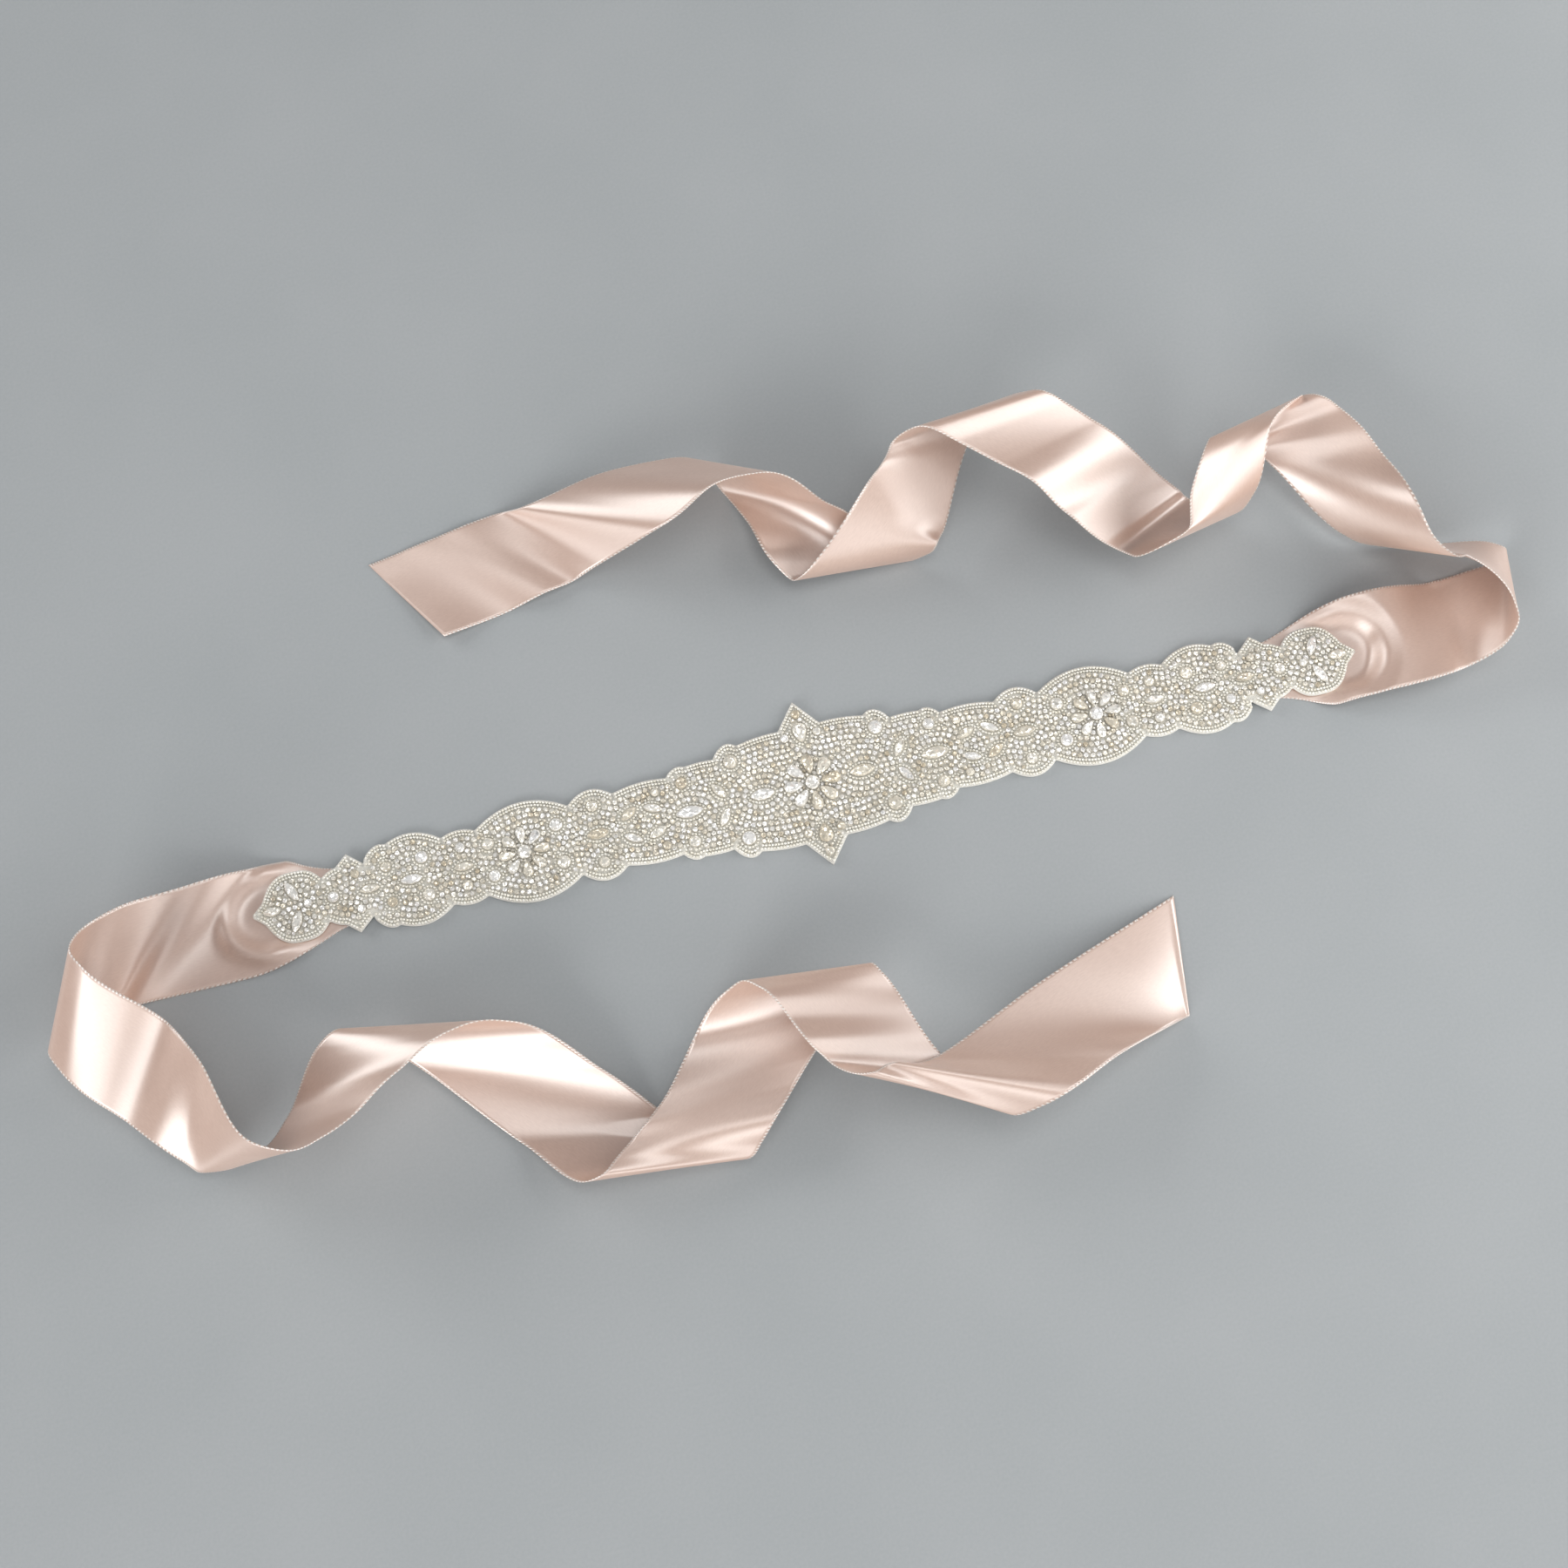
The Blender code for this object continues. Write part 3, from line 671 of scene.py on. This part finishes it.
bed, stones, seeds, chains = lay_out()
print("first rows:", len(chains), "small stones,", len(seeds), "seed beads")

# %% Fill what is left
SPOT = 0.3                      # spacing of the places that are tried (mm)
TRIED = (203, 30)               # how far they reach along and across (mm)
TRIED_INSIDE = 1.5              # and how far they stay inside the outline (mm)
FIRST_ROW = 3.5                 # depth of the outermost row of small stones (mm)
ROW_PITCH = CHAIN * 1.05
ROW_SLACK = 0.09                # in rows
ROWS_INSIDE = 3.3               # least depth of these rows (mm)
FILL_SIZES = ((1.7, 0.97), (1.3, 0.97), (SEED, 0.85))   # size (mm), how closely it may touch
FILL_INSIDE = 2.3               # from the outline to the rim of such a bead (mm)


def fill(bed, seeds, chains):
    """Rows that follow the outline, then single beads in the gaps."""
    columns, lines = np.meshgrid(*(np.arange(-reach, reach + 0.1, SPOT) for reach in TRIED), indexing="ij")
    spots = np.stack([columns.ravel(), lines.ravel()], 1)
    spots = spots[np.abs(spots[:, 1]) < panel_reach(spots[:, 0]) - TRIED_INSIDE]
    depths = np.array([depth_inside(x, y) for x, y in spots])
    row = (depths - FIRST_ROW) / ROW_PITCH
    order = np.lexsort((spots[:, 0], spots[:, 1] > 0, np.round(row)))
    in_row = np.abs(row - np.round(row)) < ROW_SLACK
    for index in order[in_row[order] & (depths[order] > ROWS_INSIDE)]:
        x, y = spots[index]
        if bed.free(x, y, CHAIN / 2):
            bed.take(x, y, CHAIN / 2)
            chains.append((x, y, CHAIN / 2))
    for size, share in FILL_SIZES:
        for index in np.lexsort((spots[:, 1], spots[:, 0])):
            x, y = spots[index]
            if depths[index] > FILL_INSIDE + size / 2 and bed.free(x, y, size / 2 * share):
                bed.take(x, y, size / 2)
                (chains if size > SEED else seeds).append((x, y, size / 2))


fill(bed, seeds, chains)
print(len(stones), "large stones,", len(chains), "small stones,", len(seeds), "seed beads")

# %% [markdown]
# ## Shapes of the beads
#
# One bead of each kind is modelled, and then sewn on many times over.  A stone
# is a disc, drawn up in steps: out to its widest line, then in towards its flat
# top.  On a round stone one step is turned half a facet, so its sides break into
# triangles that catch the light one by one.  It sits in a little metal cup.

# %% Stones, cups and seed beads of unit size
def drawn_up(cut, count, steps):
    """A faceted solid of unit width: each step is a share, a height and a turn."""
    shape = bmesh.new()
    rim = bmesh.ops.create_circle(shape, cap_ends=True, segments=count, radius=1)["verts"]
    for vert, (u, v) in zip(rim, cut_outline(cut, 1, 1, count)):
        vert.co = (u * steps[0][0], v * steps[0][0], steps[0][1])
    top = shape.faces[:]
    for before, (share, height, turn) in zip(steps, steps[1:]):
        raised = bmesh.ops.extrude_face_region(shape, geom=top)["geom"]
        verts = [part for part in raised if isinstance(part, bmesh.types.BMVert)]
        top = [part for part in raised if isinstance(part, bmesh.types.BMFace)]
        ratio = share / before[0]
        bmesh.ops.scale(shape, vec=(ratio, ratio, 1), verts=verts)
        bmesh.ops.rotate(shape, matrix=Matrix.Rotation(turn * math.pi / count, 3, "Z"), verts=verts)
        bmesh.ops.translate(shape, vec=(0, 0, height - before[1]), verts=verts)
    bmesh.ops.triangulate(shape, faces=shape.faces)
    bmesh.ops.recalc_face_normals(shape, faces=shape.faces)
    mesh = bpy.data.meshes.new("kind")
    shape.to_mesh(mesh)
    shape.free()
    return mesh


def seed_kind():
    """A seed bead of unit width."""
    shape = bmesh.new()
    bmesh.ops.create_uvsphere(shape, u_segments=6, v_segments=4, radius=0.5)
    mesh = bpy.data.meshes.new("kind")
    shape.to_mesh(mesh)
    shape.free()
    return mesh


# %% One of each kind
# columns: share of the width, height, turn in half facets
CROWN = ((0.9, 0.4, 0), (0.98, 0.6, 0), (0.76, 0.88, 1), (0.44, 1, 0))
LONG_CROWN = [(share, height, 0) for share, height, _turn in CROWN]
CUP = ((0.98, 0, 0), (1.03, 0.42, 0))
FEW, MORE = 6, 12               # facets round a small stone and round a large one
KINDS = {
    "small": drawn_up("round", FEW, CROWN), "small_cup": drawn_up("round", FEW, CUP), "seed": seed_kind(),
    "round": drawn_up("round", MORE, CROWN), "round_cup": drawn_up("round", MORE, CUP),
    "marquise": drawn_up("marquise", MORE, LONG_CROWN), "marquise_cup": drawn_up("marquise", MORE, CUP),
    "pear": drawn_up("pear", MORE, LONG_CROWN), "pear_cup": drawn_up("pear", MORE, CUP),
}
print({kind: len(mesh.polygons) for kind, mesh in KINDS.items()}, "faces")


# %% Sewing many copies on
def sew_on(name, kind_places, material, smooth=False):
    """Copies of the kinds at their places, as one piece with a shade for each bead."""
    beads = bmesh.new()
    shades = []
    for kind, matrix in kind_places:
        copy = KINDS[kind].copy()
        copy.transform(matrix)
        beads.from_mesh(copy)
        shades += [random.random()] * len(copy.polygons)
        bpy.data.meshes.remove(copy)
    piece = finish_mesh(name, beads, material, smooth)
    shade = piece.data.attributes.new("shade", "FLOAT", "FACE")
    shade.data.foreach_set("value", shades)
    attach(piece, "root")
    print(name, sum(len(face.vertices) - 2 for face in piece.data.polygons), "triangles")
    return piece


def bead_matrix(x, y, lift, length, width, height, turn, tilt):
    """Place, size, turn and a slight random tilt of one bead."""
    angle = tilt * random.gauss(0, 1)
    lean = Matrix.Rotation(angle, 4, Vector((random.uniform(-1, 1), random.uniform(-1, 1), 0.01)))
    size = Matrix.Diagonal((length * MM, width * MM, height * MM, 1))
    return Matrix.Translation(place_on_panel(x, y, lift)) @ lean @ Matrix.Rotation(turn, 4, "Z") @ size


# %% [markdown]
# ## Glass and metal
#
# The stones are machine-cut glass with a silvered back, so most of the light
# that goes in comes straight out again: they look like tinted mirrors more
# than like window glass, and a part of a metal's reflection stands in for the
# silvering.  Most are clear and a few champagne.  The seed beads are lined with
# silver, and the cups are plated brass, a little dull.  The facets of the back
# are smaller than a stone, so they are drawn as cells a millimetre wide.

# %% Bead materials
def make_foiled(name, stops, metallic, roughness, facet, lean):
    """Glass or plate, tinted bead by bead; facets (m) show as cells that lean at random."""
    material, shader = new_material(name, Metallic=metallic, Roughness=roughness, Specular_IOR_Level=0.8)
    shade = add_node(material, "ShaderNodeAttribute", attribute_name="shade")
    tint = add_node(material, "ShaderNodeValToRGB", {"Fac": shade.outputs["Fac"]}, stops)
    place = add_node(material, "ShaderNodeTexCoord")
    cells = add_node(material, "ShaderNodeTexVoronoi",
                     {"Vector": place.outputs["Object"], "Scale": 1 / facet})
    offset = add_node(material, "ShaderNodeVectorMath",
                      {0: cells.outputs["Color"], 1: (0.5, 0.5, 0.5)}, operation="SUBTRACT")
    leaning = add_node(material, "ShaderNodeVectorMath",
                       {0: offset.outputs[0], "Scale": lean}, operation="SCALE")
    upright = add_node(material, "ShaderNodeNewGeometry")
    total = add_node(material, "ShaderNodeVectorMath",
                     {0: upright.outputs["Normal"], 1: leaning.outputs[0]}, operation="ADD")
    normal = add_node(material, "ShaderNodeVectorMath", {0: total.outputs[0]}, operation="NORMALIZE")
    feed(material, shader, Base_Color=tint.outputs["Color"], Normal=normal.outputs[0])
    return material


CRYSTAL_TINTS = ((0, "#d9cdb6"), (0.12, "#efe8d8"), (0.5, "#fbf8ef"), (1, "#ffffff"))
crystal = make_foiled("foiled_cut_glass", CRYSTAL_TINTS,
                      metallic=0.3, roughness=0.12, facet=1.0 * MM, lean=1.1)
seed_glass = make_foiled("silver_lined_seed_beads", ((0, "#eeeadd"), (1, "#fffef8")),
                         metallic=0.15, roughness=0.2, facet=0.6 * MM, lean=0.3)
plate = make_foiled("silver_plated_cups", ((0, "#d8d2c6"), (1, "#ece7dc")),
                    metallic=0.5, roughness=0.35, facet=0.5 * MM, lean=0.4)
print("bead finishes:", crystal.name, seed_glass.name, plate.name)

# %% [markdown]
# ## Sewing
#
# Each bead stands on the organza at its own place.  Small stones are sewn by
# hand and lean a little, each another way, so each sends the light elsewhere;
# the large ones sit straighter, raised a little in their cups.

# %% Sew them on
SMALL_HEIGHT, SMALL_CUP_HEIGHT = 1.5, 1.2   # mm
LARGE_HEIGHT, LARGE_CUP_HEIGHT = 2.2, 2.6
LARGE_LIFT = 0.3                            # of a large stone in its cup (mm)
SEED_LIFT, SEED_HEIGHT = 0.8, 1.8           # of a seed bead, in its radius
SMALL_LEAN, LARGE_LEAN = 0.16, 0.05         # radians, as a usual amount
small_places = [(x, y, 2 * r, random.uniform(0, math.tau)) for x, y, r in chains]
small_stones = sew_on("small_stones", [
    ("small", bead_matrix(x, y, PANEL_TOP, w, w, SMALL_HEIGHT, t, SMALL_LEAN))
    for x, y, w, t in small_places], crystal)
sew_on("small_cups", [
    ("small_cup", bead_matrix(x, y, PANEL_TOP, w, w, SMALL_CUP_HEIGHT, t, 0.0))
    for x, y, w, t in small_places], plate)
sew_on("seed_beads", [
    ("seed", bead_matrix(x, y, PANEL_TOP + r * SEED_LIFT, 2 * r, 2 * r, SEED_HEIGHT * r, 0, 0.0))
    for x, y, r in seeds], seed_glass, smooth=True)
sew_on("large_stones", [
    (cut, bead_matrix(x, y, PANEL_TOP + LARGE_LIFT, a, b, LARGE_HEIGHT, t, LARGE_LEAN))
    for cut, x, y, a, b, t, _rows in stones], crystal)
sew_on("large_cups", [
    (cut + "_cup", bead_matrix(x, y, PANEL_TOP, a, b, LARGE_CUP_HEIGHT, t, 0.0))
    for cut, x, y, a, b, t, _rows in stones], plate)
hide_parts("beadwork")

# %% [markdown]
# ## The table
#
# The sash lies on plain grey paper.  Paper is a mat of short fibres, so its
# grey is a little cloudy and its face faintly rough; fibres are far too fine
# to show here, and the grain is drawn at about a millimetre.

# %% Floor
def make_paper():
    """Grey paper with fine fibres and faint clouds."""
    material, shader = new_material("matt_grey_paper", Roughness=0.9)
    place = add_node(material, "ShaderNodeTexCoord")
    fibres, clouds = (add_node(material, "ShaderNodeTexNoise",
                               {"Vector": place.outputs["Object"], "Scale": scale, "Detail": 3.0})
                      for scale in (900.0, 12.0))
    mixed = add_node(material, "ShaderNodeMath",
                     {0: fibres.outputs["Fac"], 1: clouds.outputs["Fac"]}, operation="ADD")
    half = add_node(material, "ShaderNodeMath", {0: mixed.outputs[0], 1: 0.5}, operation="MULTIPLY")
    grey = add_node(material, "ShaderNodeValToRGB", {"Fac": half.outputs[0]},
                    ((0.35, "#a0a5a8"), (0.65, "#a7abae")))
    bump = add_node(material, "ShaderNodeBump",
                    {"Height": fibres.outputs["Fac"], "Strength": 0.15, "Distance": 0.2 * MM})
    feed(material, shader, Base_Color=grey.outputs["Color"], Normal=bump.outputs["Normal"])
    return material


FLOOR_HALF = 3                  # half a side (m)
floor_paper = make_paper()
floor_mesh = bmesh.new()
bmesh.ops.create_grid(floor_mesh, x_segments=1, y_segments=1, size=FLOOR_HALF)
floor = finish_mesh("floor", floor_mesh, floor_paper)
print(floor.name, floor_paper.name)

# %% [markdown]
# ## Light
#
# Satin shows its form by its sheen, and a lamp overhead would send that sheen
# straight up from all the flat cloth at once.  So most of the light comes low
# and from the sides, from boxes about a metre wide: the flat cloth stays a
# quiet blush, and each slope that faces a box turns bright.

# %% Lights
def add_softbox(name, place, target, size, watts, code):
    """A soft rectangular lamp that points at a target."""
    lamp = bpy.data.lights.new(name, "AREA")
    lamp.shape = "RECTANGLE"
    lamp.size, lamp.size_y = size
    lamp.energy = watts
    lamp.color = linear(code)[:3]
    holder = bpy.data.objects.new(name, lamp)
    holder.location = place
    holder.rotation_euler = (Vector(target) - Vector(place)).to_track_quat("-Z", "Y").to_euler()
    bpy.context.scene.collection.objects.link(holder)


def dome_place(azimuth, height, distance):
    """A place round the sash, from its direction in plan and its height angle."""
    azimuth, height = math.radians(azimuth), math.radians(height)
    return (distance * math.cos(height) * math.cos(azimuth),
            distance * math.cos(height) * math.sin(azimuth), distance * math.sin(height))


# columns: name, azimuth, height (degrees), distance, width of the box (m), watts
LAMPS = (
    ("front_window", 225, 22, 2.6, 1.44, 40), ("right_window", 0, 24, 1.2, 0.85, 8.5),
    ("back_window", 135, 22, 2.6, 1.44, 28), ("near_right_box", 315, 22, 1.8, 1.0, 8),
    ("near_box", 270, 22, 1.8, 1.0, 4.5), ("ceiling_box", 0, 85, 1.8, 1.0, 8),
)
for name, azimuth, height, distance, width, watts in LAMPS:
    add_softbox(name, dome_place(azimuth, height, distance), (0, 0, 0), (width, 0.9 * width), watts,
                "#fffdfa")
world = bpy.data.worlds.new("studio")
world.use_nodes = True
world.node_tree.nodes["Background"].inputs["Color"].default_value = linear("#e8ecf2")
world.node_tree.nodes["Background"].inputs["Strength"].default_value = 0.2
bpy.context.scene.world = world
print(len(LAMPS), "soft boxes,", sum(lamp[-1] for lamp in LAMPS), "W")

# %% [markdown]
# ## Camera
#
# The camera looks down on the table from 0.7 m, leaning 14 degrees forwards and
# turned so that the panel climbs to the right.  A camera looks along its own
# -Z, so its matrix has its right, its up and the opposite of its view as columns.

# %% Camera
SENSOR, LENS = 36, 47.77        # mm
CAMERA_PLACE = (-49.7, -173.05, 727.5)      # mm
CAMERA_RIGHT = (0.9703, -0.2419, 0)
CAMERA_VIEW = (0.0585, 0.2347, -0.9703)
camera_data = bpy.data.cameras.new("camera")
camera_data.sensor_width = SENSOR
camera_data.lens = LENS
camera = bpy.data.objects.new("camera", camera_data)
right, forward = (Vector(way).normalized() for way in (CAMERA_RIGHT, CAMERA_VIEW))
up = right.cross(forward)
camera.matrix_world = Matrix.Translation(Vector(CAMERA_PLACE) * MM) @ Matrix(
    (right, up, -forward)).transposed().to_4x4()
bpy.context.scene.collection.objects.link(camera)
bpy.context.scene.camera = camera
bpy.context.scene.view_settings.view_transform = "Standard"
print("field of view:", round(math.degrees(2 * math.atan(SENSOR / 2 / LENS))), "degrees")
